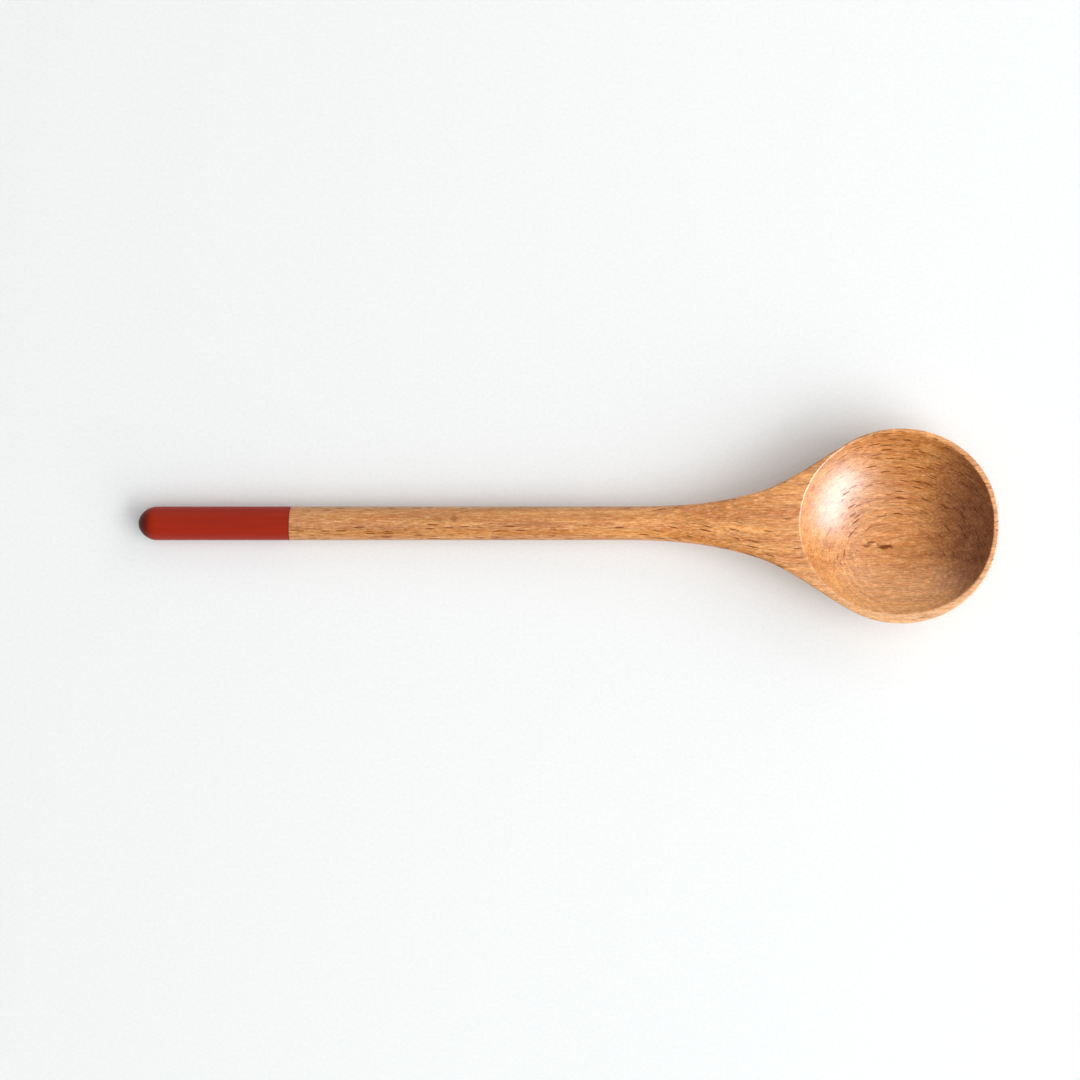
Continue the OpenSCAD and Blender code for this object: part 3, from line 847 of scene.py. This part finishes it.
coat = add(coat_tree, "GeometryNodeTransform", row_place)
coat = smooth_but_creased(coat_tree, coat)
coat = add(coat_tree, "GeometryNodeRealizeInstances", [coat])
coat = add(coat_tree, "GeometryNodeSetMaterial", {"Geometry": coat, "Material": red})
add(coat_tree, "NodeGroupOutput", [coat])

coat = made_mesh("dipped_red_coat", coat_tree, coat_sizes)

# Enamel, dipped and drained: smooth brick red with a satin sheen and faint
# lengthwise runs left by draining.  It is darker at the tip, partly where the paint
# collected and partly as painted shade on the end away from the window, and a thin
# dark line of painted shade runs along its edge.
RUNS_PER_MM = (0.06, 1.1, 1.1)
GATHERED_AND_SHADE_FULL_MM = 1.2
GATHERED_AND_SHADE_SHARE = 0.85
EDGE_SHADE_LINE_MM = 0.25
EDGE_SHADE_LINE_SHARE = 0.75
RIPPLE_MM = 0.02
paint = red.node_tree
paint.nodes.clear()
in_mm = [add(paint, "ShaderNodeTexCoord").outputs["Object"], (1 / MM, 1 / MM, 1 / MM), from_tip]
in_mm = add(paint, "ShaderNodeVectorMath", in_mm, operation="MULTIPLY_ADD")
parts = add(paint, "ShaderNodeSeparateXYZ", [in_mm]).outputs
runs = add(paint, "ShaderNodeVectorMath", [in_mm, RUNS_PER_MM], operation="MULTIPLY")
runs = add(paint, "ShaderNodeTexNoise", {"Vector": runs, "Scale": 1.0, "Detail": 2.0})
colour = {0: runs, 6: linear("#8D2110"), 7: linear("#A02A14")}
colour = add(paint, "ShaderNodeMix", colour, data_type="RGBA").outputs[2]
# Darker towards the tip: where the paint collected, and painted shade on the end away from the window
gathered_and_shade = [parts["X"], GATHERED_AND_SHADE_FULL_MM, gathered_and_shade_length, GATHERED_AND_SHADE_SHARE, 0.0]
gathered_and_shade = add(paint, "ShaderNodeMapRange", gathered_and_shade, interpolation_type="SMOOTHSTEP")
colour = {0: gathered_and_shade, 6: colour, 7: linear("#4A1208")}
colour = add(paint, "ShaderNodeMix", colour, data_type="RGBA").outputs[2]
# A thin dark line along the coat's edge: painted shade of the step where the paint ends
aside = add(paint, "ShaderNodeMath", [parts["Y"], handle_offset], operation="SUBTRACT")
lean = add(paint, "ShaderNodeMath", [aside, edge_lean / handle_r, edge_lean], operation="MULTIPLY_ADD")
to_edge = add(paint, "ShaderNodeMath", [parts["X"], lean], operation="SUBTRACT")
edge_shade_line = [dip_length - EDGE_SHADE_LINE_MM, dip_length - EDGE_SHADE_LINE_MM / 3, 0.0, EDGE_SHADE_LINE_SHARE]
edge_shade_line = add(paint, "ShaderNodeMapRange", [to_edge, *edge_shade_line])
colour = {0: edge_shade_line, 6: colour, 7: linear("#4A0F07")}
colour = add(paint, "ShaderNodeMix", colour, data_type="RGBA").outputs[2]
ripple = {"Height": runs, "Strength": 0.3, "Distance": RIPPLE_MM * MM}
ripple = add(paint, "ShaderNodeBump", ripple)
surface = {"Base Color": colour, "Roughness": 0.4, "IOR": 1.5, "Specular IOR Level": 0.1}
surface = add(paint, "ShaderNodeBsdfPrincipled", {**surface, "Normal": ripple})
add(paint, "ShaderNodeOutputMaterial", [surface])

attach(coat, "root")
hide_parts("red_paint_coat")

# ================================================================ Table
# A sheet of white card under the spoon.  Its pulp gives it a faint mottling and tooth.

TABLE_SIZE = 3.0
bpy.ops.mesh.primitive_plane_add(size=TABLE_SIZE)
table = bpy.context.object
table.name = "table"
card = bpy.data.materials.new("white card")
card.use_nodes = True
paper = card.node_tree
paper.nodes.clear()
spot = add(paper, "ShaderNodeTexCoord").outputs["Object"]
PULP_MM = 0.8
TOOTH_MM = 0.05
pulp = {"Vector": spot, "Scale": 1 / (PULP_MM * MM), "Detail": 3.0, "Roughness": 0.6}
pulp = add(paper, "ShaderNodeTexNoise", pulp)
fleece = {0: pulp, 6: linear("#E0E2E2"), 7: linear("#EDEEED")}
fleece = add(paper, "ShaderNodeMix", fleece, data_type="RGBA").outputs[2]
tooth = add(paper, "ShaderNodeBump", {"Height": pulp, "Strength": 0.25, "Distance": TOOTH_MM * MM})
surface = {"Base Color": fleece, "Roughness": 0.9, "Normal": tooth}
surface = add(paper, "ShaderNodeBsdfPrincipled", surface)
add(paper, "ShaderNodeOutputMaterial", [surface])
table.data.materials.append(card)

# ================================================================ Light
# A room with a large window to the right and front, its lower panes dimmer, a
# second window further round, and a pale ceiling.  Each is a soft panel that
# faces the spoon from far off.

PANEL_DISTANCE = 2.5
ROOM_STRENGTH = 0.27


def panel(name, azimuth, elevation, width, height, radiance):
    """A light that looks width by height degrees large from the spoon, as bright all over as radiance."""
    light = bpy.data.lights.new(name, "AREA")
    light.shape = "RECTANGLE"
    light.size = 2 * PANEL_DISTANCE * math.tan(math.radians(width / 2))
    light.size_y = 2 * PANEL_DISTANCE * math.tan(math.radians(height / 2))
    light.energy = math.pi * light.size * light.size_y * radiance
    lamp = bpy.data.objects.new(name, light)
    turn, climb = math.radians(azimuth), math.radians(elevation)
    out = PANEL_DISTANCE * math.cos(climb)
    lamp.location = (out * math.cos(turn), out * math.sin(turn), PANEL_DISTANCE * math.sin(climb))
    lamp.rotation_euler = (math.pi / 2 - climb, 0, turn + math.pi / 2)
    bpy.context.scene.collection.objects.link(lamp)
    return lamp


panel("window", azimuth=-24, elevation=45, width=50, height=20, radiance=5.5)
panel("lower panes", azimuth=-36, elevation=18, width=60, height=34, radiance=2.2)
panel("side window", azimuth=35, elevation=28, width=50, height=40, radiance=1.6)

# The ceiling only lights, and the glare and the pale wall only show in the sheen
ceiling = panel("ceiling", azimuth=0, elevation=88, width=50, height=50, radiance=1.35)
ceiling.visible_glossy = False
glare = panel("window glare", azimuth=-20, elevation=16, width=49, height=36, radiance=24.0)
glare.visible_diffuse = False
glare.data.color = linear("#C8E8FF")[:3]
wall = panel("pale wall", azimuth=82, elevation=28, width=90, height=44, radiance=1.3)
wall.visible_diffuse = False

room = bpy.data.worlds.new("white room")
room.use_nodes = True
room.node_tree.nodes["Background"].inputs["Color"].default_value = linear("#FFFFFF")
room.node_tree.nodes["Background"].inputs["Strength"].default_value = ROOM_STRENGTH
bpy.context.scene.world = room
bpy.context.scene.view_settings.view_transform = "Standard"
